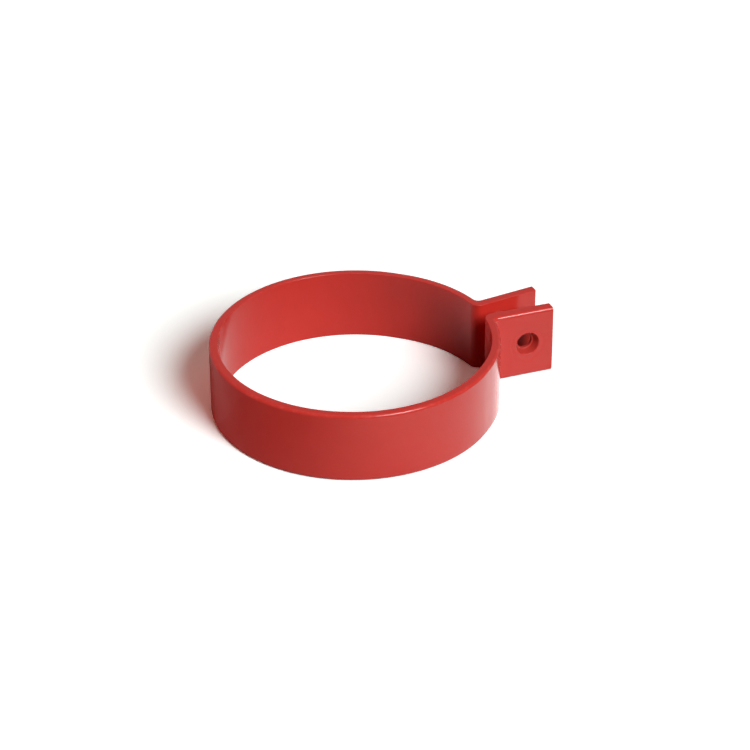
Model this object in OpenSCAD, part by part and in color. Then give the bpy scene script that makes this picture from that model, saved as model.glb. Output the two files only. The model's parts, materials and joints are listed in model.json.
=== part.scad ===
// Downpipe clip: a split band moulded in one piece with two ears, which a screw draws together.
// The pipe's axis is Z through the origin, at half the band's height, and the ears reach along +X.

/* [Band] */
// Outside diameter of the pipe that the band goes round
pipe_d = 110; // [50:1:160]
// Thickness of the band's wall
band_wall = 3.6; // [2.6:0.1:6]
// Height of the band and of the ears
band_h = 30; // [18:1:60]
// How far the bore stands clear of the pipe between the ears
mouth_ease = 1.3; // [0.4:0.1:2]
// How far the centre of the eased stretch is set towards the ears
mouth_shift = 4; // [2:0.1:6]

/* [Ears] */
// Length of the ears, from the band's outer face to their tips
ear_len = 25.6; // [20:0.1:40]
// Thickness of an ear where it leaves the band
ear_root_t = 4.6; // [3.6:0.1:7]
// Thickness of an ear at its tip
ear_tip_t = 4.3; // [3:0.1:8]
// Gap between the ears where they leave the band
gap_root = 7.6; // [4:0.1:12]
// Gap between the ears at their tips
gap_tip = 12; // [6:0.1:20]

/* [Rounding] */
// Radius of the outer edges round both rims
edge_r = 1.3; // [0.4:0.1:1.5]
// Chamfer at both ends of the bore
bore_chamfer = 0.3; // [0.2:0.1:0.8]
// Radius of the corner where the bore turns into the gap
throat_r = 4; // [2:0.1:5]
// Radius of the fillet between the band's outer face and an ear
fillet_r = 2; // [1:0.1:4]

/* [Screw hole] */
// Diameter of the hole through both ears
screw_hole_d = 6.6; // [4:0.1:8]
// Diameter of the mouth of the screw head's seat, in one ear
seat_d = 10; // [8:0.1:14]
// Diameter of the seat's floor
seat_floor_d = 7.8; // [6.8:0.1:12]
// Depth of the seat
seat_depth = 2.7; // [1:0.1:3]
// Distance from the ears' tips to the hole's centre
hole_from_tip = 11.3; // [8:0.1:16]

/* [Hidden] */
$fn = 128;

// How far a cutter runs past what it cuts
over = 1;
// A rounding's circle is a hair larger than the rounding, so that it crosses the faces cleanly
cross = 1.005;
// How far a corner's or fillet's outline reaches past its arc, in radii
reach = 1.3;

bore_r = pipe_d / 2;
half_h = band_h / 2;
eased_r = bore_r + mouth_ease - mouth_shift;
mouth_centre = [mouth_shift, 0];

// Ears in plan, as their inner and outer faces on the +Y side
root_x = bore_r + mouth_ease + band_wall;
tip_x = root_x + ear_len;
inner_root = [root_x, gap_root / 2];
inner_tip = [tip_x, gap_tip / 2];
outer_root = inner_root + [0, ear_root_t];
outer_tip = inner_tip + [0, ear_tip_t];
inner_slope = slope(inner_root, inner_tip);
outer_slope = slope(outer_root, outer_tip);
hole_x = tip_x - hole_from_tip;
seat_y = outer_root[1] + (hole_x - root_x) * tan(outer_slope);

// Angle of the line from one point to another
function slope(from, to) = atan2(to[1] - from[1], to[0] - from[0]);

function along(angle) = [cos(angle), sin(angle)];
function left_of(angle) = [-sin(angle), cos(angle)];

// Centre of a circle of radius r that touches the line through point at that angle, on its left,
// and touches the mouth's circle of radius ring_r from outside
function touching(point, angle, r, ring_r) =
    let (
        start = point + r * left_of(angle) - mouth_centre,
        lead = start * along(angle),
        run = sqrt(lead * lead - start * start + (ring_r + r) * (ring_r + r)) - lead
    )
    mouth_centre + start + run * along(angle);

// What a rounding of radius r takes off a square corner, with the corner at +X and +Y of the origin
module corner_off(r) {
    difference() {
        square(r + over);
        circle(r = cross * r);
    }
}

// Upright section of a wall with its outer face at x = 0 and both outer edges rounded
module rounded_wall(thickness) {
    difference() {
        translate([-thickness, -half_h]) square([thickness, band_h]);
        for (side = [0, 1]) mirror([0, side])
            translate([-edge_r, half_h - edge_r]) corner_off(edge_r);
    }
}

module band_ring(inner_r) {
    rotate_extrude() translate([inner_r + band_wall, 0]) rounded_wall(band_wall);
}

// The hole that a ring goes round, with a chamfer at both ends
module ring_bore(inner_r) {
    cylinder(r = inner_r, h = band_h + 2 * over, center = true);
    for (side = [0, 1]) mirror([0, 0, side]) translate([0, 0, half_h - bore_chamfer])
        cylinder(r1 = inner_r, r2 = inner_r + bore_chamfer + over, h = bore_chamfer + over);
}

// Four-sided outline from a circle's centre past the corner that the circle rounds or fills
module corner_outline(centre, angle, r) {
    to_ring = (mouth_centre - centre) / norm(mouth_centre - centre);
    to_face = -left_of(angle);
    polygon([
        centre,
        centre + reach * r * to_ring,
        centre + reach * r * (to_ring + to_face),
        centre + reach * r * to_face
    ]);
}

// The ear's rounded section, run along its outer face from inside the bore to past its tip
module ear() {
    from_x = bore_r - band_wall;
    to_x = tip_x + over;
    to_y = outer_tip[1] + over * tan(outer_slope);
    translate([to_x, to_y, 0]) rotate([0, 0, outer_slope]) rotate([90, 0, -90])
        linear_extrude((to_x - from_x) / cos(outer_slope))
            mirror([1, 0]) rounded_wall(ear_root_t + gap_root / 4);
}

// Fillet between the band's outer face and the ear, with its own edges broken
module root_fillet() {
    centre = touching(outer_root, outer_slope, fillet_r, eased_r + band_wall);
    broken = edge_r / 2;
    difference() {
        linear_extrude(band_h, center = true) corner_outline(centre, outer_slope, fillet_r);
        translate([centre[0], centre[1], 0]) {
            cylinder(r = cross * fillet_r, h = band_h + 2 * over, center = true);
            for (side = [0, 1]) mirror([0, 0, side]) translate([0, 0, half_h - broken])
                cylinder(r1 = cross * fillet_r, r2 = cross * fillet_r + broken + over, h = broken + over);
        }
    }
}

// What rounds the corner where the bore turns into the gap
module throat_cut() {
    centre = touching(inner_root, inner_slope, throat_r, eased_r);
    difference() {
        linear_extrude(band_h + 2 * over, center = true) corner_outline(centre, inner_slope, throat_r);
        translate([centre[0], centre[1], 0])
            cylinder(r = cross * throat_r, h = band_h + 4 * over, center = true);
    }
}

// The gap between the ears, from inside the bore to past the tips
module gap() {
    from_x = bore_r - 2 * band_wall;
    to_x = tip_x + 2 * over;
    from_y = inner_root[1] - (root_x - from_x) * tan(inner_slope);
    to_y = inner_tip[1] + (to_x - tip_x) * tan(inner_slope);
    linear_extrude(band_h + 2 * over, center = true)
        polygon([[from_x, -from_y], [to_x, -to_y], [to_x, to_y], [from_x, from_y]]);
}

// What lies past the ears' tips, which end in one plane
module past_tips() {
    half_w = outer_tip[1] + over;
    translate([tip_x, -half_w, -half_h - over]) cube([3 * over, 2 * half_w, band_h + 2 * over]);
}

// Hole through both ears in line, and the seat for the screw's head in the ear on the -Y side
module screw_hole() {
    translate([hole_x, 0, 0]) rotate([90, 0, 0]) {
        cylinder(d = screw_hole_d, h = 2 * outer_tip[1] + 2 * over, center = true);
        translate([0, 0, seat_y - seat_depth]) cylinder(d1 = seat_floor_d, d2 = seat_d, h = seat_depth);
        translate([0, 0, seat_y]) cylinder(d = seat_d, h = 2 * over);
    }
}

module clip_body() {
    color("firebrick") difference() {
        union() {
            band_ring(bore_r);
            translate([mouth_shift, 0, 0]) band_ring(eased_r);
            for (side = [0, 1]) mirror([0, side, 0]) {
                ear();
                root_fillet();
            }
        }
        ring_bore(bore_r);
        translate([mouth_shift, 0, 0]) ring_bore(eased_r);
        gap();
        past_tips();
        for (side = [0, 1]) mirror([0, side, 0]) throat_cut();
        screw_hole();
    }
}

clip_body();
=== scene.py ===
"""Downpipe clip: a split band with two splayed ears, moulded in one piece in red PVC-U.

The clip's skin is one closed surface worked out with numpy. A wall section is carried along the
plan outline, from the tip of one ear round the band to the tip of the other, and a square patch
in each ear is exchanged for rings that run through its screw hole. Lengths are in metres. The
pipe's axis is Z through the origin, at half the band's height, and the ears reach along +X.
"""

from __future__ import annotations

import json
import logging
import math
from dataclasses import dataclass, field
from enum import Enum

import bpy
import numpy as np
from mathutils import Matrix, Vector


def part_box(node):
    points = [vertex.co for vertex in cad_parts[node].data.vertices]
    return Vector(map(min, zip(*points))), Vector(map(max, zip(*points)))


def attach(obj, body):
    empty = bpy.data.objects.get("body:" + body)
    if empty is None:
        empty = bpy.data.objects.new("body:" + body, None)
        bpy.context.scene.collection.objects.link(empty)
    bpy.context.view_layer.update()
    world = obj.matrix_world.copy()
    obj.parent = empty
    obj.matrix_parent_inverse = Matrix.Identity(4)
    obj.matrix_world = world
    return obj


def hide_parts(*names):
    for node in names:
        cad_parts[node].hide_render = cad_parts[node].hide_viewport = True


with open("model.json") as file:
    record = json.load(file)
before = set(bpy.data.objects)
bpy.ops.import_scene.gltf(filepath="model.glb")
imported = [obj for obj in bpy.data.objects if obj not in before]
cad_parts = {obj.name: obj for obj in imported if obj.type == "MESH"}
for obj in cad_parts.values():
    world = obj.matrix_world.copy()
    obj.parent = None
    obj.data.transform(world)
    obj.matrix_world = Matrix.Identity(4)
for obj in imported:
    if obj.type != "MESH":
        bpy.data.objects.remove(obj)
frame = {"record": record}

LOG = logging.getLogger("downpipe_clip")
MM = 0.001
# Points that agree to this much become one
WELD = 1e-3 * MM
# How far the floor stands over the clip's underside, so that no light creeps in between
FLOOR_GIVES = 0.01 * MM
NODE = "clip_body"

Array = np.ndarray
Colour = tuple[float, float, float]
Tone = float | bpy.types.NodeSocket


class Ear(Enum):
    """The two ears, by the side of the gap that they stand on."""

    PLAIN = 1
    SEATED = -1


@dataclass
class Patch:
    """A grid of points, with what the material is told about each point.

    Attributes:
        points: The grid, rows by columns by 3.
        edge: How far each point lies on a rounded edge or in the fillet, from 0 to 1.
        pinned: How far each point lies inside the hole, where a core pin shaped the plastic and
        where the material paints shade, from 0 to 1.
        closed: True if the last column joins the first.
        flip: True if the faces are wound the other way.
        skip: Rows and columns of the cells that are left out, as (row from, row to, column from,
            column to).
    """

    points: Array
    edge: Array
    pinned: Array
    closed: bool = False
    flip: bool = False
    skip: list[tuple[int, int, int, int]] = field(default_factory=list)

    def faces(self) -> Array:
        """Quads of the grid as indices into its points, counted row by row.

        Returns:
            An array of 4 indices a face.
        """
        rows, columns = self.points.shape[:2]
        index = np.arange(rows * columns).reshape(rows, columns)
        if self.closed:
            index = np.concatenate([index, index[:, :1]], axis=1)
        keep = np.ones((rows - 1, index.shape[1] - 1), bool)
        for row_from, row_to, column_from, column_to in self.skip:
            keep[row_from:row_to, column_from:column_to] = False
        corners = [index[:-1, :-1], index[:-1, 1:], index[1:, 1:], index[1:, :-1]]
        quads = np.stack(corners, axis=-1)[keep]
        return quads[:, ::-1] if self.flip else quads


def unit(angle: Array) -> Array:
    """Points on the unit circle at these angles, in radians."""
    return np.stack([np.cos(angle), np.sin(angle)], axis=-1)


def turned(direction: Array) -> Array:
    """Plan directions turned a quarter turn to the left."""
    return np.stack([-direction[..., 1], direction[..., 0]], axis=-1)


def lerp(start: Array | float, end: Array | float, share: Array | float) -> Array:
    """What lies this share of the way from start to end."""
    return start + (end - start) * share


@dataclass(frozen=True)
class Outline:
    """Half of the clip's plan outline, on the +Y side, from the back of the band to an ear's tip.

    The band's faces are two rings of nearly constant radius. Towards the gap each opens a little,
    as a circle set towards the ears and a little smaller does where it stands outside the ring.
    Then the inner face turns through a convex corner into the ear's inner face, the outer face
    through a fillet into the ear's outer face, and both end in straight lines that splay outwards.

    Attributes:
        bore_r: Radius of the bore away from the mouth.
        tip_x: Where the ears end.
        wall: Thickness of the band.
        mouth_ease: How far the bore stands clear of the pipe between the ears.
        mouth_shift: How far the mouth's circle is set towards the ears.
        ease_softness: How softly a ring passes into the mouth's circle.
        ear_root_t: Thickness of an ear where it leaves the band.
        ear_tip_t: Thickness of an ear at its tip.
        gap_root: Gap between the ears where they leave the band.
        gap_tip: Gap between the ears at their tips.
        throat_r: Radius of the corner where the bore turns into the gap.
        fillet_r: Radius of the fillet between the band's outer face and an ear.
        band_steps: Cells along half the band.
        corner_steps: Cells round the corner and round the fillet.
        turn_step: Small angle over which a ring's growth is measured.
    """

    bore_r: float
    tip_x: float
    wall: float = 3.6 * MM
    mouth_ease: float = 1.3 * MM
    mouth_shift: float = 4.0 * MM
    ease_softness: float = 0.06 * MM
    ear_root_t: float = 4.6 * MM
    ear_tip_t: float = 4.3 * MM
    gap_root: float = 7.6 * MM
    gap_tip: float = 12.0 * MM
    throat_r: float = 4.0 * MM
    fillet_r: float = 2.0 * MM
    band_steps: int = 380
    corner_steps: int = 24
    turn_step: float = 1e-4

    @property
    def root_x(self) -> float:
        """Where the band's outer face would cross the gap."""
        return self.bore_r + self.mouth_ease + self.wall

    def radius(self, outer: bool) -> float:
        """Radius of the band's outer or inner face away from the mouth."""
        return self.bore_r + (self.wall if outer else 0.0)

    def face(self, outer: bool) -> tuple[Array, Array]:
        """An ear's outer or inner face, as a straight line in plan.

        Args:
            outer: True for the face that looks away from the gap.

        Returns:
            The point where it leaves the band, and its direction towards the tip.
        """
        root_y = self.gap_root / 2 + (self.ear_root_t if outer else 0.0)
        rise = (self.gap_tip - self.gap_root) / 2
        if outer:
            rise = rise + self.ear_tip_t - self.ear_root_t
        run = np.array([self.tip_x - self.root_x, rise])
        return np.array([self.root_x, root_y]), run / np.linalg.norm(run)

    def face_y(self, x: Array, outer: bool) -> Array:
        """Distance of an ear's face from the plane between the ears, one for each x."""
        root, run = self.face(outer)
        return root[1] + (x - root[0]) * run[1] / run[0]

    def ring_radius(self, angle: Array, radius: float) -> Array:
        """Distance of a band face from the axis.

        It is the face's radius plus how far the mouth's circle stands outside that radius, where
        it does. The square root of its square plus a small one rounds the passage between both.

        Args:
            angle: Polar angle about the axis.
            radius: The face's radius away from the mouth.

        Returns:
            The distance, one for each angle.
        """
        mouth_r = radius + self.mouth_ease - self.mouth_shift
        across = self.mouth_shift * np.sin(angle)
        stands = self.mouth_shift * np.cos(angle) + np.sqrt(mouth_r**2 - across**2) - radius
        return radius + (stands + np.sqrt(stands**2 + self.ease_softness**2)) / 2

    def ring(self, angle: Array, radius: float) -> tuple[Array, Array]:
        """Points and outward normals of a band face.

        The normal is the radial direction times the distance, less the direction along the ring
        times the distance's growth with the angle.

        Args:
            angle: Polar angles about the axis.
            radius: The face's radius away from the mouth.

        Returns:
            The points, and the normals away from the axis.
        """
        reach = self.ring_radius(angle, radius)
        ahead = self.ring_radius(angle + self.turn_step, radius)
        behind = self.ring_radius(angle - self.turn_step, radius)
        growth = (ahead - behind) / (2 * self.turn_step)
        radial = unit(angle)
        normal = radial * reach[:, None] - turned(radial) * growth[:, None]
        return radial * reach[:, None], normal / np.linalg.norm(normal, axis=1, keepdims=True)

    def corner(self, outer: bool) -> tuple[Array, float, Array]:
        """The circle whose arc joins a band face to an ear's face.

        It touches the ear's straight face on its left and the mouth's circle from outside.

        Args:
            outer: True for the fillet, False for the corner at the gap.

        Returns:
            The circle's centre in plan, its radius, and the ear's face's direction.
        """
        root, run = self.face(outer)
        corner_r = self.fillet_r if outer else self.throat_r
        mouth = np.array([self.mouth_shift, 0.0])
        apart = self.radius(outer) + self.mouth_ease - self.mouth_shift + corner_r
        start = root + corner_r * turned(run) - mouth
        lead = start @ run
        further = math.sqrt(lead**2 - start @ start + apart**2) - lead
        return mouth + start + run * further, corner_r, run

    def corner_end(self, outer: bool) -> float:
        """Where along X the corner's arc ends and the ear's straight face begins."""
        centre, corner_r, run = self.corner(outer)
        return float((centre - corner_r * turned(run))[0])

    def side(self, outer: bool, ear_x: Array) -> tuple[Array, Array]:
        """One face of the wall: the band's ring, the corner's arc and the ear's straight line.

        Args:
            outer: True for the face that looks away from the pipe and the gap.
            ear_x: Where along the ear its stations lie, after the corner.

        Returns:
            Plan points, and unit normals that point into the wall.
        """
        centre, corner_r, run = self.corner(outer)
        to_mouth = np.array([self.mouth_shift, 0.0]) - centre
        to_face = -turned(run)
        from_angle = math.atan2(to_mouth[1], to_mouth[0]) % (2 * math.pi)
        to_angle = math.atan2(to_face[1], to_face[0]) % (2 * math.pi)
        arc = unit(np.linspace(from_angle, to_angle, self.corner_steps + 1))

        meets = centre + corner_r * arc[0]
        angles = np.linspace(math.pi, math.atan2(meets[1], meets[0]), self.band_steps + 1)
        band, away = self.ring(angles, self.radius(outer))
        straight = np.stack([ear_x, self.face_y(ear_x, outer)], axis=-1)
        points = np.concatenate([band, centre + corner_r * arc[1:], straight])

        inward = -1.0 if outer else 1.0
        off_face = np.tile(inward * turned(run), (len(ear_x), 1))
        return points, np.concatenate([inward * away, -inward * arc[1:], off_face])


@dataclass(frozen=True)
class ScrewHole:
    """The hole through both ears along Y, with the seat for the screw's head in one of them.

    Attributes:
        x: Where the hole's axis lies along the ears.
        radius: Radius of the hole.
        seat_mouth_r: Radius of the seat at the ear's face.
        seat_floor_r: Radius of the seat's floor.
        seat_depth: Depth of the seat.
        edge_r: Radius of the rounded edges.
        patch_half: Half the side of the square patch that the rings fill.
        sink_r: Radius of the shallow ring round the seat.
        sink_spread: How far that ring spreads to either side.
        sink_depth: Depth of that ring.
        side_steps: Cells along one side of the patch.
        edge_steps: Cells across a rounded edge.
        face_rings: How many rings lie on an ear's face.
        face_share: Where those rings begin, as a share of patch_half.
        seat_wall_at: Where the rings lie down the seat's wall, as shares of it.
        seat_floor_at: Where the rings lie across the seat's floor, as shares of it.
        bore_at: Where the rings lie along the bore, as shares of it.
    """

    x: float
    radius: float
    seat_mouth_r: float = 5.0 * MM
    seat_floor_r: float = 3.9 * MM
    seat_depth: float = 2.7 * MM
    edge_r: float = 0.2 * MM
    patch_half: float = 9.0 * MM
    sink_r: float = 7.0 * MM
    sink_spread: float = 0.75 * MM
    sink_depth: float = 0.1 * MM
    side_steps: int = 18
    edge_steps: int = 4
    face_rings: int = 14
    face_share: float = 0.93
    seat_wall_at: tuple[float, ...] = (0.03, 0.35, 0.65, 0.97, 1.0)
    seat_floor_at: tuple[float, ...] = (0.05, 0.5, 1.0)
    bore_at: tuple[float, ...] = (0.05, 0.35, 0.65, 0.95, 1.0)

    def square(self) -> Array:
        """Border of the square patch round the hole, anticlockwise from its lower left corner.

        Returns:
            Points as x and z from the hole's axis.
        """
        run = np.linspace(-self.patch_half, self.patch_half, self.side_steps + 1)[:-1]
        edge = np.full_like(run, self.patch_half)
        sides = [(run, -edge), (edge, run), (-run, edge), (-edge, -run)]
        return np.concatenate([np.stack(side, axis=-1) for side in sides])

    def around(self) -> Array:
        """Directions from the hole's axis to a ring's points, in the order of the square's.

        Returns:
            Unit vectors in x and z.
        """
        count = 4 * self.side_steps
        lower_left = -0.75 * math.pi
        return unit(lower_left + np.arange(count) * 2 * math.pi / count)

    def face_radii(self, mouth_r: float) -> Array:
        """Radii of the rings on an ear's face.

        Args:
            mouth_r: Radius of the hole or the seat at the face.

        Returns:
            The radii, from far out to where the mouth's rounding begins.
        """
        far = self.patch_half * self.face_share
        return lerp(far, mouth_r + self.edge_r, np.linspace(0.0, 1.0, self.face_rings))

    def sink(self, radius: Array) -> Array:
        """Depth to which the thick rim draws the face in as it cools: a bell round sink_r."""
        return self.sink_depth * np.exp(-(((radius - self.sink_r) / self.sink_spread) ** 2))

    def skin(self, outline: Outline, ear: Ear) -> Patch:
        """The ear's faces round the hole and the hole's own wall, as rings from outside inwards.

        Each ring is a circle about the hole's axis. Its place along the axis either follows the
        ear's sloping face at a depth, or is one level. The first and last rings are the patch's
        square border. A rounded edge is a quarter circle between two faces.

        Args:
            outline: The clip's plan outline.
            ear: Which ear.

        Returns:
            A grid of rings, closed round the hole.
        """
        seated = ear is Ear.SEATED
        mouth_r = self.seat_mouth_r if seated else self.radius
        quarter = np.linspace(0.0, math.pi / 2, self.edge_steps + 1)[1:]
        around = self.around()
        rings: list[Array] = []
        told: list[tuple[float, float]] = []

        def add(flat: Array, y: Array, edge: float = 0.0, pinned: float = 0.0) -> None:
            """Adds a ring of x and z from the hole's axis, at y from the plane between the ears."""
            rings.append(np.stack([self.x + flat[:, 0], y * ear.value, flat[:, 1]], axis=-1))
            told.append((edge, pinned))

        def on_face(flat: Array, outer: bool) -> Array:
            """Height of an ear's face under a ring, over the plane between the ears."""
            return outline.face_y(self.x + flat[:, 0], outer)

        add(self.square(), on_face(self.square(), True))
        for radius in self.face_radii(mouth_r):
            flat = radius * around
            add(flat, on_face(flat, True) - (self.sink(radius) if seated else 0.0))
        for angle in quarter:
            flat = (mouth_r + self.edge_r * (1 - math.sin(angle))) * around
            level = on_face(flat, True) - self.edge_r * (1 - math.cos(angle))
            add(flat, level, math.sin(2 * angle))
        if seated:
            floor_y = float(outline.face_y(np.array(self.x), True)) - self.seat_depth
            top_y = on_face(mouth_r * around, True) - self.edge_r
            for share in self.seat_wall_at:
                flat = lerp(mouth_r, self.seat_floor_r, share) * around
                add(flat, lerp(top_y, floor_y, share), pinned=1.0)
            for share in self.seat_floor_at:
                flat = lerp(self.seat_floor_r, self.radius + self.edge_r, share) * around
                add(flat, np.full(len(around), floor_y), pinned=1.0)
            for angle in quarter:
                flat = (self.radius + self.edge_r * (1 - math.sin(angle))) * around
                level = np.full(len(around), floor_y - self.edge_r * (1 - math.cos(angle)))
                add(flat, level, math.sin(2 * angle), pinned=1.0)
        bore_from = rings[-1][:, 1] * ear.value
        flat = self.radius * around
        bore_to = on_face(flat, False) + self.edge_r
        for share in self.bore_at:
            add(flat, lerp(bore_from, bore_to, share), pinned=1.0)
        for angle in quarter:
            flat = (self.radius + self.edge_r * (1 - math.cos(angle))) * around
            level = on_face(flat, False) + self.edge_r * (1 - math.sin(angle))
            add(flat, level, math.sin(2 * angle))
        for radius in self.face_radii(self.radius)[::-1][1:]:
            add(radius * around, on_face(radius * around, False))
        add(self.square(), on_face(self.square(), False))

        edge, pinned = np.repeat(np.array(told).T[..., None], len(around), axis=2)
        return Patch(np.array(rings), edge, pinned, closed=True, flip=not seated)


@dataclass
class ClipBody:
    """The whole clip as one closed skin: a rounded wall carried along the outline, and the hole.

    Attributes:
        outline: The plan outline.
        hole: The screw hole.
        half_h: Half the band's height.
        edge_r: Radius of the outer edges round both rims.
        lip_r: Radius of the inner edges round both rims.
        tip_r: Radius of the edges round an ear's tip.
        edge_steps: Cells across a rim's rounded edge.
        tip_steps: Cells across a tip's rounded edge.
        root_steps: Cells along an ear from its corner to the hole's patch.
        margin_steps: Cells from the hole's patch to an edge.
        support: Width of the narrow cell beside an edge, which keeps the flat face flat to look at.
        across: Where the cells of a rim and of an end face meet, as shares of the wall.
    """

    outline: Outline
    hole: ScrewHole
    half_h: float
    edge_r: float = 1.3 * MM
    lip_r: float = 0.3 * MM
    tip_r: float = 0.25 * MM
    edge_steps: int = 8
    tip_steps: int = 4
    root_steps: int = 6
    margin_steps: int = 3
    support: float = 0.12 * MM
    across: tuple[float, ...] = (0.0, 0.06, 0.28, 0.5, 0.72, 0.94, 1.0)

    def tip_turn(self) -> Array:
        """Angles of the rounding at an ear's tip, from the straight face to the end face."""
        return np.linspace(0.0, math.pi / 2, self.tip_steps + 1)[1:]

    def ear_stations(self, outer: bool) -> Array:
        """Where along the ear the sections stand: before, beside and behind the hole, and the tip.

        Args:
            outer: True for the outer face, whose straight stretch begins elsewhere than the
                inner one's.

        Returns:
            The places along X, as many for either face.
        """
        begin = self.outline.corner_end(outer)
        patch_from = self.hole.x - self.hole.patch_half
        patch_to = self.hole.x + self.hole.patch_half
        end = self.outline.tip_x - self.tip_r
        return np.concatenate(
            [
                np.linspace(begin + self.support, patch_from, self.root_steps + 1),
                np.linspace(patch_from, patch_to, self.hole.side_steps + 1)[1:],
                np.linspace(patch_to, end - self.support, self.margin_steps + 1)[1:],
                [end],
                end + self.tip_r * np.sin(self.tip_turn()),
            ]
        )

    def insets(self, stations: int) -> Array:
        """How far each section of half the clip is drawn in, as the tip's rounding falls away.

        Args:
            stations: How many sections there are.

        Returns:
            The inset of each section, which is zero before the tip's rounding.
        """
        inset = np.zeros(stations)
        inset[-self.tip_steps :] = self.tip_r * (1 - np.cos(self.tip_turn()))
        return inset

    def rows(self, rounding: float) -> Array:
        """Heights of the straight part of a wall, with those of the hole's patch among them.

        Args:
            rounding: Radius of the edges above and below.

        Returns:
            The heights from below upwards.
        """
        limit = self.half_h - rounding
        half = self.hole.patch_half
        above = np.linspace(half, limit - self.support, self.margin_steps + 1)[1:]
        patch = np.linspace(-half, half, self.hole.side_steps + 1)
        return np.concatenate([[-limit], -above[::-1], patch, above, [limit]])

    def column(self, rounding: float, inset: Array) -> tuple[Array, Array, Array]:
        """A wall's section from its bottom rounding up to its top rounding.

        A rounding is a quarter circle. Drawing the section in makes the circle smaller about the
        same centre.

        Args:
            rounding: Radius of both roundings.
            inset: How far each section is drawn in.

        Returns:
            Depth into the wall, height, and how far a point lies on an edge, each as sections
            by points.
        """
        turn = np.linspace(0.0, math.pi / 2, self.edge_steps + 1)
        radius = (rounding - inset)[:, None]
        rows = self.rows(rounding)
        wall = np.repeat(inset[:, None], len(rows), axis=1)
        depth = np.concatenate(
            [rounding - radius * np.cos(turn[:0:-1]), wall, rounding - radius * np.cos(turn[1:])],
            axis=1,
        )
        limit = self.half_h - rounding
        height = np.concatenate(
            [
                -limit - radius * np.sin(turn[:0:-1]),
                np.repeat(rows[None, :], len(inset), axis=0),
                limit + radius * np.sin(turn[1:]),
            ],
            axis=1,
        )
        bend = np.sin(2 * turn)
        edge = np.concatenate([bend[:0:-1], np.zeros(len(rows)), bend[1:]])
        return depth, height, np.repeat(edge[None, :], len(inset), axis=0)

    def wall_face(self, outer: bool) -> tuple[Array, Array]:
        """One face of the wall over half the clip, with its roundings.

        Args:
            outer: True for the face that looks away from the pipe and the gap.

        Returns:
            Points, sections by height, and how far each lies on an edge or in the fillet.
        """
        plan, inward = self.outline.side(outer, self.ear_stations(outer))
        rounding = self.edge_r if outer else self.lip_r
        depth, height, edge = self.column(rounding, self.insets(len(plan)))
        if outer:
            fillet_from = self.outline.band_steps
            edge[fillet_from : fillet_from + self.outline.corner_steps] = 1.0
        flat = plan[:, None, :] + inward[:, None, :] * depth[..., None]
        flat[-self.tip_steps :, :, 0] = plan[-self.tip_steps :, None, 0]
        return np.concatenate([flat, height[..., None]], axis=-1), edge

    def patches(self) -> list[Patch]:
        """Every grid of the skin: the walls, the rims, the end faces and the rings in the holes.

        Returns:
            The grids, whose borders meet point on point.
        """
        outer, outer_edge = self.wall_face(True)
        inner, inner_edge = self.wall_face(False)
        across = np.array(self.across)[None, :, None]
        rims = [lerp(outer[:, row, None, :], inner[:, row, None, :], across) for row in (0, -1)]
        end = lerp(outer[-1][:, None, :], inner[-1][:, None, :], across)

        cells = self.hole.side_steps
        after = len(outer) - 1 - self.tip_steps - 1 - self.margin_steps
        low = (outer.shape[1] - cells) // 2
        hole = (after - cells, after, low, low + cells)
        wall = np.zeros(outer.shape[:2])
        rim = np.zeros(rims[0].shape[:2])
        tip = np.zeros(end.shape[:2])
        made: list[Patch] = []
        for ear in Ear:
            side = np.array([1.0, ear.value, 1.0])
            seated = ear is Ear.SEATED
            made += [
                Patch(outer * side, outer_edge, wall, flip=seated, skip=[hole]),
                Patch(inner * side, inner_edge, wall, flip=not seated, skip=[hole]),
                Patch(rims[0] * side, rim, rim, flip=not seated),
                Patch(rims[1] * side, rim, rim, flip=seated),
                Patch(end * side, tip, tip, flip=not seated),
                self.hole.skin(self.outline, ear),
            ]
        return made

    def build(self, name: str) -> bpy.types.Object:
        """Joins the grids into one closed mesh.

        Args:
            name: Name of the piece.

        Returns:
            The piece's object.
        """
        patches = self.patches()
        starts = np.cumsum([0] + [patch.edge.size for patch in patches])
        faces = [patch.faces() + start for patch, start in zip(patches, starts)]
        joined = np.concatenate([patch.points.reshape(-1, 3) for patch in patches])
        cells = np.round(joined / WELD)
        _, first, place = np.unique(cells, axis=0, return_index=True, return_inverse=True)
        quads = place.ravel()[np.concatenate(faces)]

        mesh = bpy.data.meshes.new(name)
        mesh.from_pydata(joined[first].tolist(), [], quads.tolist())
        mesh.polygons.foreach_set("use_smooth", np.ones(len(quads), bool))
        # The pinned mask marks the hole, where the material paints shade and makes the surface
        # duller
        for told in ("edge", "pinned"):
            values = np.concatenate([getattr(patch, told).ravel() for patch in patches])[first]
            attribute = mesh.attributes.new(told, "FLOAT", "POINT")
            attribute.data.foreach_set("value", values.astype(np.float32))
        mesh.update()
        piece = bpy.data.objects.new(name, mesh)
        bpy.context.scene.collection.objects.link(piece)
        return piece


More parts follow.
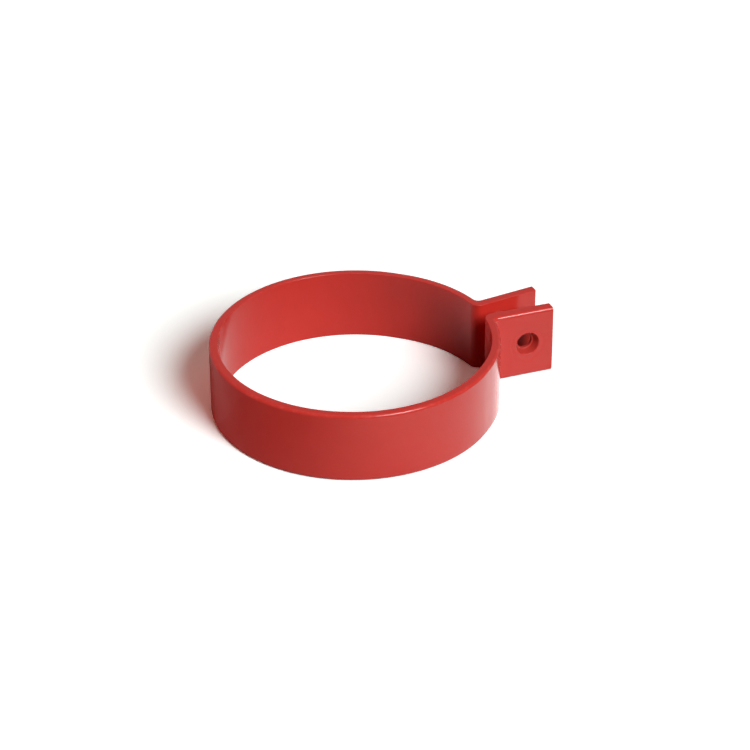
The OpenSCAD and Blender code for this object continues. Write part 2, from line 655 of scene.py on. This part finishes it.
@dataclass(frozen=True)
class Wiring:
    """Adds nodes to a node tree and links them.

    Attributes:
        tree: The node tree.
    """

    tree: bpy.types.NodeTree

    def node(self, kind: str, **settings: str | bpy.types.NodeTree) -> bpy.types.Node:
        """Adds a node and makes its settings.

        Args:
            kind: The node's type, after ShaderNode.
            settings: Properties of the node by name.

        Returns:
            The node.
        """
        node = self.tree.nodes.new(f"ShaderNode{kind}")
        for name, value in settings.items():
            setattr(node, name, value)
        return node

    def feed(self, socket: bpy.types.NodeSocket, value: Tone | Colour) -> None:
        """Links a socket to another one, or sets it to a plain value.

        Args:
            socket: The input.
            value: An output, a number or a colour.
        """
        if isinstance(value, bpy.types.NodeSocket):
            self.tree.links.new(value, socket)
        else:
            socket.default_value = (*value, 1.0) if isinstance(value, tuple) else value

    def math(self, operation: str, *values: Tone) -> bpy.types.NodeSocket:
        """One arithmetic step.

        Args:
            operation: The Math node's operation.
            values: What it works on.

        Returns:
            The result.
        """
        node = self.node("Math", operation=operation)
        for socket, value in zip(node.inputs, values):
            self.feed(socket, value)
        return node.outputs["Value"]

    def mix(self, share: Tone, low: Tone | Colour, high: Tone | Colour) -> bpy.types.NodeSocket:
        """What lies this share of the way from low to high.

        Args:
            share: The share, from 0 to 1.
            low: What share 0 gives.
            high: What share 1 gives. If it is a colour, colours are mixed.

        Returns:
            The mixed number or colour.
        """
        colour = isinstance(high, tuple)
        node = self.node("Mix", data_type="RGBA" if colour else "FLOAT")
        kind = "Color" if colour else "Float"
        sockets = {socket.identifier: socket for socket in node.inputs}
        for name, value in ((f"A_{kind}", low), (f"B_{kind}", high), ("Factor_Float", share)):
            self.feed(sockets[name], value)
        return next(socket for socket in node.outputs if socket.identifier == f"Result_{kind}")

    def ramp(self, value: Tone, span: tuple[float, float]) -> bpy.types.NodeSocket:
        """How far a value has come along a span, eased at both ends.

        Args:
            value: The value.
            span: Where the way begins and where it ends.

        Returns:
            The share of the way, from 0 to 1.
        """
        node = self.node("MapRange", interpolation_type="SMOOTHSTEP")
        for name, part in (("Value", value), ("From Min", span[0]), ("From Max", span[1])):
            self.feed(node.inputs[name], part)
        return node.outputs["Result"]

    def place(self, group: bpy.types.NodeTree, **values: Tone) -> bpy.types.NodeSocket:
        """Places a node group with its own values.

        Args:
            group: The group.
            values: What goes into its inputs, by their names.

        Returns:
            The group's first output.
        """
        node = self.node("Group", node_tree=group)
        for name, value in values.items():
            self.feed(node.inputs[name], value)
        return node.outputs[0]


@dataclass(frozen=True)
class Effect:
    """A surface effect as a node group, with named number inputs and one number output.

    Attributes:
        name: Name of the group.
        inputs: Names of the inputs.
        output: Name of the output.
    """

    name: str
    inputs: tuple[str, ...]
    output: str

    def group(self) -> bpy.types.NodeTree:
        """The group, built when it is first asked for."""
        found = bpy.data.node_groups.get(self.name)
        return found or self.built()

    def built(self) -> bpy.types.NodeTree:
        """Makes the group, its sockets and what it does between them.

        Returns:
            The new group.
        """
        tree = bpy.data.node_groups.new(self.name, "ShaderNodeTree")
        for name in self.inputs:
            tree.interface.new_socket(name, in_out="INPUT", socket_type="NodeSocketFloat")
        tree.interface.new_socket(self.output, in_out="OUTPUT", socket_type="NodeSocketFloat")
        given = tree.nodes.new("NodeGroupInput").outputs
        result = tree.nodes.new("NodeGroupOutput").inputs[self.output]
        Wiring(tree).feed(result, self.wire(Wiring(tree), given))
        return tree

    def wire(self, wiring: Wiring, given: bpy.types.NodeOutputs) -> bpy.types.NodeSocket:
        """What the effect puts out, from what it is given."""
        raise NotImplementedError


@dataclass(frozen=True)
class Mottle(Effect):
    """Soft blotches of a given period, from 0 to 1 and mostly near one half."""

    name: str = "mottle"
    inputs: tuple[str, ...] = ("Period", "Detail", "Seed")
    output: str = "Blotch"

    def wire(self, wiring: Wiring, given: bpy.types.NodeOutputs) -> bpy.types.NodeSocket:
        """Noise of four dimensions on the object's own coordinates, with the seed as the fourth.

        Args:
            wiring: Adds the nodes.
            given: The group's inputs.

        Returns:
            The noise.
        """
        noise = wiring.node("TexNoise", noise_dimensions="4D")
        wiring.feed(noise.inputs["Vector"], wiring.node("TexCoord").outputs["Object"])
        wiring.feed(noise.inputs["W"], given["Seed"])
        wiring.feed(noise.inputs["Scale"], wiring.math("DIVIDE", 1.0, given["Period"]))
        wiring.feed(noise.inputs["Detail"], given["Detail"])
        return noise.outputs["Fac"]


@dataclass(frozen=True)
class Rub(Effect):
    """Where handling has rubbed the rounded edges, in broken stretches.

    Attributes:
        softness: How far a blotch passes its threshold on its way from bare to rubbed.
    """

    name: str = "rub"
    inputs: tuple[str, ...] = ("Edge", "Blotch", "Cover")
    output: str = "Rubbed"
    softness: float = 0.12

    def wire(self, wiring: Wiring, given: bpy.types.NodeOutputs) -> bpy.types.NodeSocket:
        """The edge's mask times a mask of the blotches, which grow with the share to cover.

        Args:
            wiring: Adds the nodes.
            given: The group's inputs.

        Returns:
            How far a place is rubbed, from 0 to 1.
        """
        over = wiring.math("SUBTRACT", wiring.math("ADD", given["Blotch"], given["Cover"]), 1.0)
        mask = wiring.ramp(over, (-self.softness, self.softness))
        return wiring.math("MULTIPLY", given["Edge"], mask)


@dataclass(frozen=True)
class Pattern:
    """How a mottle is laid on a surface.

    Attributes:
        period: Length of a blotch.
        detail: How many finer layers lie on the blotches.
        seed: Which of the many such patterns it is.
        depth: Height of the blotches, where they are a relief.
    """

    period: float
    detail: float
    seed: float
    depth: float = 0.0

    def place(self, wiring: Wiring) -> bpy.types.NodeSocket:
        """Places the mottle with this pattern's values."""
        values = {"Period": self.period, "Detail": self.detail, "Seed": self.seed}
        return wiring.place(Mottle().group(), **values)


@dataclass(frozen=True)
class MouldedPlastic:
    """Pigmented PVC-U as it leaves a polished mould.

    The pigment is a little uneven and the gloss a little patchy. The skin is not quite flat: it
    is wavy where the wall shrank, with a fine orange peel on top. Rounded edges and the fillets
    are a little duller, and rubbed paler in places. Inside the hole the core pin left the plastic
    dull, and its colour there is painted darker, as painted shade of the hole.

    Attributes:
        name: Name of the material.
        colour: Mean colour.
        uneven: Share of the colour by which the pigment varies, up and down.
        rubbed: Colour of a rubbed edge.
        rub_cover: How much of the edges is rubbed: more for a larger number.
        pinned: Colour inside the hole, painted darker than the skin as painted shade.
        gloss: Roughness where the mould was polished best and where least.
        polish_span: Between which values of its pattern the polish passes from best to least.
        edge_roughness: Roughness of rounded edges and fillets, where a mould is polished least.
        pinned_roughness: Roughness inside the hole.
        specular: Strength of the reflections.
        pigment: Pattern of the pigment.
        polish: Pattern of the polish.
        scuff: Pattern of the rubbed stretches.
        wave: Relief of the waviness.
        peel: Relief of the orange peel.
    """

    name: str
    colour: Colour = (0.6, 0.028, 0.02)
    uneven: float = 0.05
    rubbed: Colour = (0.66, 0.05, 0.038)
    rub_cover: float = 0.42
    # Painted shade: the colour inside the hole is darker than the skin, to stand in for the hole's
    # shade
    pinned: Colour = (0.47, 0.032, 0.024)
    gloss: tuple[float, float] = (0.12, 0.165)
    polish_span: tuple[float, float] = (0.3, 0.7)
    edge_roughness: float = 0.2
    pinned_roughness: float = 0.34
    specular: float = 0.3
    pigment: Pattern = Pattern(period=9.0 * MM, detail=3.0, seed=1.0)
    polish: Pattern = Pattern(period=5.0 * MM, detail=2.0, seed=2.0)
    scuff: Pattern = Pattern(period=3.0 * MM, detail=4.0, seed=3.0)
    wave: Pattern = Pattern(period=14.0 * MM, detail=0.0, seed=4.0, depth=0.014 * MM)
    peel: Pattern = Pattern(period=0.7 * MM, detail=1.0, seed=5.0, depth=0.0012 * MM)

    def material(self) -> bpy.types.Material:
        """Builds the material.

        Returns:
            The material, ready to put on a piece.
        """
        material = bpy.data.materials.new(self.name)
        material.use_nodes = True
        wiring = Wiring(material.node_tree)
        shader = material.node_tree.nodes["Principled BSDF"]
        shader.inputs["Specular IOR Level"].default_value = self.specular

        edge = wiring.node("Attribute", attribute_name="edge").outputs["Fac"]
        pinned = wiring.node("Attribute", attribute_name="pinned").outputs["Fac"]
        scuff = self.scuff.place(wiring)
        rubbed = wiring.place(Rub().group(), Edge=edge, Blotch=scuff, Cover=self.rub_cover)

        thin, thick = (
            tuple(part * (1 + sign * self.uneven) for part in self.colour) for sign in (1, -1)
        )
        skin = wiring.mix(self.pigment.place(wiring), thick, thin)
        colour = wiring.mix(rubbed, skin, self.rubbed)
        # Painted shade: inside the hole the base colour is mixed to the darker hole colour
        wiring.feed(shader.inputs["Base Color"], wiring.mix(pinned, colour, self.pinned))

        polish = wiring.ramp(self.polish.place(wiring), self.polish_span)
        roughness = wiring.mix(edge, wiring.mix(polish, *self.gloss), self.edge_roughness)
        roughness = wiring.mix(pinned, roughness, self.pinned_roughness)
        wiring.feed(shader.inputs["Roughness"], roughness)

        heights = [
            wiring.math("MULTIPLY", relief.place(wiring), relief.depth / MM)
            for relief in (self.wave, self.peel)
        ]
        bump = wiring.node("Bump")
        bump.inputs["Distance"].default_value = MM
        wiring.feed(bump.inputs["Height"], wiring.math("ADD", *heights))
        wiring.feed(shader.inputs["Normal"], bump.outputs["Normal"])
        return material


@dataclass(frozen=True)
class Softbox:
    """A soft light, as a disc of sky that sends out even light.

    Attributes:
        name: Name of the lamp.
        azimuth: Degrees to the right of the camera.
        elevation: Degrees above the floor.
        spread: Degrees from edge to edge.
        level: How bright a white surface that faces the light becomes, where 1 is white.
        colour: Colour of the light.
        gloss: False if reflections don't show it.
        matt: False if only reflections show it.
    """

    name: str
    azimuth: float
    elevation: float
    spread: float
    level: float
    colour: Colour = (1.0, 1.0, 1.0)
    gloss: bool = True
    matt: bool = True

    def add(self, towards: Vector) -> None:
        """Adds the lamp.

        Args:
            towards: Direction from the clip to the light.
        """
        data = bpy.data.lights.new(self.name, "SUN")
        data.energy = self.level * math.pi
        data.angle = math.radians(self.spread)
        data.color = self.colour
        lamp = bpy.data.objects.new(self.name, data)
        lamp.rotation_euler = towards.to_track_quat("Z", "Y").to_euler()
        lamp.visible_glossy = self.gloss
        lamp.visible_diffuse = self.matt
        bpy.context.scene.collection.objects.link(lamp)


@dataclass
class Studio:
    """White floor, soft lights, surroundings and camera.

    Each sheen is painted reflection: how much brighter reflections see the floor than it is, set
    by place so that the clip's reflections come out paler or darker there. Where a sheen has two
    values, it runs from the first to the second along sheen_span.

    Attributes:
        floor_z: Height of the floor.
        camera_azimuth: Where the camera stands, in degrees from -Y towards +X.
        camera_elevation: How high the camera stands, in degrees.
        camera_roll: How far the camera leans, in degrees.
        camera_distance: How far the camera is from the clip's origin.
        image_px: Width and height of the image.
        px_per_mm: How large a millimetre at the clip's origin is in the image.
        origin_px: Where the clip's origin falls in the image.
        sensor: Width of the camera's sensor, in millimetres.
        key: The main light.
        overhead: Light that fills the shadows from above.
        fill: Light on the walls from behind on the left.
        glint: Light that only shows as a highlight.
        sky: Light from all round.
        backdrop: How bright reflections see the surroundings.
        under: Light from below the horizon.
        floor_half: Half the side of the floor.
        floor_albedo: Share of the light that the floor gives back.
        floor_gain: How much brighter the camera sees the floor than it is.
        sheen_azimuth: The direction along which the sheen runs, in degrees from the camera's.
        sheen_span: Where along that direction the run begins and ends, from the clip's axis.
        sheen_outside: Sheen round the band.
        sheen_inside: Sheen within the band.
        sheen_between: Sheen between the ears.
        sheen_far: Sheen a good way off.
        ring_radii: From and to where the sheen within the band passes into that round it.
        far_radii: From and to where the sheen round the band passes into that far off.
        between_half: From and to where the sheen between the ears passes into that round them.
    """

    floor_z: float
    camera_azimuth: float = -24.0
    camera_elevation: float = 31.19
    camera_roll: float = -0.235
    camera_distance: float = 1.150
    image_px: int = 750
    px_per_mm: float = 2.457
    origin_px: tuple[float, float] = (354.04, 371.32)
    sensor: float = 36.0
    key: Softbox = Softbox(
        "key", azimuth=37.0, elevation=37.5, spread=29.0, level=1.17, colour=(0.86, 1.0, 1.0)
    )
    overhead: Softbox = Softbox(
        "overhead", azimuth=0.0, elevation=90.0, spread=50.0, level=0.13, colour=(1.0, 0.64, 0.55)
    )
    fill: Softbox = Softbox(
        "fill",
        azimuth=-108.0,
        elevation=5.0,
        spread=26.0,
        level=0.6,
        colour=(1.0, 0.5, 0.4),
        gloss=False,
    )
    glint: Softbox = Softbox(
        "glint", azimuth=48.0, elevation=37.5, spread=16.0, level=0.2, matt=False
    )
    sky: float = 0.01
    backdrop: float = 0.42
    under: float = 0.75
    floor_half: float = 12.0
    floor_albedo: float = 0.3
    floor_gain: float = 4.6
    sheen_azimuth: float = 80.0
    sheen_span: tuple[float, float] = (-50.0 * MM, 75.0 * MM)
    sheen_outside: tuple[float, float] = (1.1, 6.9)
    sheen_inside: tuple[float, float] = (3.5, 0.4)
    sheen_between: float = 0.9
    sheen_far: float = 1.5
    ring_radii: tuple[float, float] = (55.0 * MM, 58.6 * MM)
    far_radii: tuple[float, float] = (110.0 * MM, 150.0 * MM)
    between_half: tuple[float, float] = (7.5 * MM, 10.5 * MM)

    def build(self) -> None:
        """Makes everything round the clip."""
        self.add_camera()
        for light in (self.key, self.overhead, self.fill, self.glint):
            light.add(self.direction(self.camera_azimuth + light.azimuth, light.elevation))
        self.add_surroundings()
        self.add_floor()

    def direction(self, azimuth: float, elevation: float) -> Vector:
        """Direction from the clip to a place, by its azimuth from -Y towards +X and elevation."""
        a, e = math.radians(azimuth), math.radians(elevation)
        return Vector((math.sin(a) * math.cos(e), -math.cos(a) * math.cos(e), math.sin(e)))

    def add_camera(self) -> None:
        """Places the camera at the photograph's angle.

        It is aimed so that the clip's origin falls at its pixel: from straight back along the
        line of sight it is moved aside by as much as the origin lies off the image's middle.
        """
        back = self.direction(self.camera_azimuth, self.camera_elevation)
        level = Vector((-back.y, back.x, 0.0)).normalized()
        upright = back.cross(level)
        roll = math.radians(self.camera_roll)
        right = level * math.cos(roll) + upright * math.sin(roll)
        up = upright * math.cos(roll) - level * math.sin(roll)
        focal_px = self.px_per_mm * self.camera_distance / MM
        half = self.image_px / 2
        aside = (self.origin_px[0] - half) / focal_px
        above = (half - self.origin_px[1]) / focal_px
        eye = (back - right * aside - up * above) * self.camera_distance
        facing = Matrix((right, up, back)).transposed().to_4x4()

        data = bpy.data.cameras.new("camera")
        data.sensor_width = self.sensor
        data.lens = focal_px * self.sensor / self.image_px
        camera = bpy.data.objects.new("camera", data)
        camera.matrix_world = Matrix.Translation(eye) @ facing
        bpy.context.scene.collection.objects.link(camera)
        bpy.context.scene.camera = camera

    def add_surroundings(self) -> None:
        """Adds the world: dim light from all round, paler in reflections, white for the camera.

        Below the horizon it is brighter. The floor keeps that light off all but the rim that
        stands on it.
        """
        world = bpy.data.worlds.new("studio")
        world.use_nodes = True
        wiring = Wiring(world.node_tree)
        rays = wiring.node("LightPath").outputs
        parts = wiring.node("SeparateXYZ")
        wiring.feed(parts.inputs[0], wiring.node("TexCoord").outputs["Generated"])
        below = wiring.math("LESS_THAN", parts.outputs["Z"], 0.0)
        above = wiring.mix(rays["Is Glossy Ray"], self.sky, self.backdrop)
        tone = wiring.mix(rays["Is Camera Ray"], wiring.mix(below, above, self.under), 1.0)
        wiring.feed(world.node_tree.nodes["Background"].inputs["Color"], tone)
        bpy.context.scene.world = world
        bpy.context.scene.view_settings.view_transform = "Standard"

    def add_floor(self) -> None:
        """Adds the white floor that the clip lies on."""
        half = self.floor_half
        corners = [(-half, -half), (half, -half), (half, half), (-half, half)]
        mesh = bpy.data.meshes.new("floor")
        mesh.from_pydata([(x, y, self.floor_z) for x, y in corners], [], [(0, 1, 2, 3)])
        floor = bpy.data.objects.new("floor", mesh)
        mesh.materials.append(self.floor_material())
        bpy.context.scene.collection.objects.link(floor)

    def floor_material(self) -> bpy.types.Material:
        """A matt white, brighter for the camera and for reflections, and not seen from below.

        The camera sees it brighter by floor_gain, so that it is white where the key light falls
        on it and keeps the clip's shadow. Reflections see it brighter by the sheens, which paint
        the clip's reflections by place.

        Returns:
            The material.
        """
        material = bpy.data.materials.new("white_floor")
        material.use_nodes = True
        material.node_tree.nodes.clear()
        wiring = Wiring(material.node_tree)
        rays = wiring.node("LightPath").outputs
        place = wiring.node("TexCoord").outputs["Object"]

        across = wiring.node("VectorMath", operation="DOT_PRODUCT")
        along = self.direction(self.camera_azimuth + self.sheen_azimuth, 0.0)
        across.inputs[1].default_value = along
        apart = wiring.node("VectorMath", operation="DISTANCE")
        apart.inputs[1].default_value = (0.0, 0.0, self.floor_z)
        parts = wiring.node("SeparateXYZ")
        for socket in (across.inputs[0], apart.inputs[0], parts.inputs[0]):
            wiring.feed(socket, place)

        run = wiring.ramp(across.outputs["Value"], self.sheen_span)
        beside = wiring.ramp(wiring.math("ABSOLUTE", parts.outputs["Y"]), self.between_half)
        outside = wiring.mix(beside, self.sheen_between, wiring.mix(run, *self.sheen_outside))
        inside = wiring.mix(run, *self.sheen_inside)
        off_ring = wiring.ramp(apart.outputs["Value"], self.ring_radii)
        far_off = wiring.ramp(apart.outputs["Value"], self.far_radii)
        sheen = wiring.mix(far_off, wiring.mix(off_ring, inside, outside), self.sheen_far)
        # Painted reflection: by place, the sheens make the floor brighter or darker to reflections
        # than to diffuse light
        seen = wiring.mix(rays["Is Glossy Ray"], 1.0, sheen)
        gain = wiring.mix(rays["Is Camera Ray"], seen, self.floor_gain)

        matt = wiring.node("BsdfDiffuse")
        wiring.feed(matt.inputs["Color"], wiring.math("MULTIPLY", gain, self.floor_albedo))
        surface = wiring.node("MixShader")
        wiring.feed(surface.inputs[0], wiring.node("NewGeometry").outputs["Backfacing"])
        wiring.feed(surface.inputs[1], matt.outputs["BSDF"])
        wiring.feed(surface.inputs[2], wiring.node("BsdfTransparent").outputs["BSDF"])
        wiring.feed(wiring.node("OutputMaterial").inputs["Surface"], surface.outputs["Shader"])
        return material


def mount(name: str) -> dict:
    """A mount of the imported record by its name."""
    return next(m for m in frame["record"]["mounts"] if m["name"] == name)


def main() -> None:
    """Builds the clip and the studio round it, and reports each piece."""
    logging.basicConfig(level=logging.INFO, format="%(name)s: %(message)s")
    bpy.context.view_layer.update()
    low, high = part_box(NODE)

    outline = Outline(bore_r=mount("pipe")["dims"]["r_mm"] * MM, tip_x=high.x)
    hole = ScrewHole(x=mount("screw")["pos_m"][0], radius=mount("screw")["dims"]["r_mm"] * MM)
    body = ClipBody(outline, hole, half_h=(high.z - low.z) / 2)
    piece = body.build("clip_skin")
    piece.data.materials.append(MouldedPlastic("red_pvc_skin").material())
    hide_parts(NODE)
    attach(piece, "root")
    LOG.info("%s: %d faces", piece.name, len(piece.data.polygons))

    Studio(floor_z=low.z + FLOOR_GIVES).build()


if __name__ == "__main__":
    main()
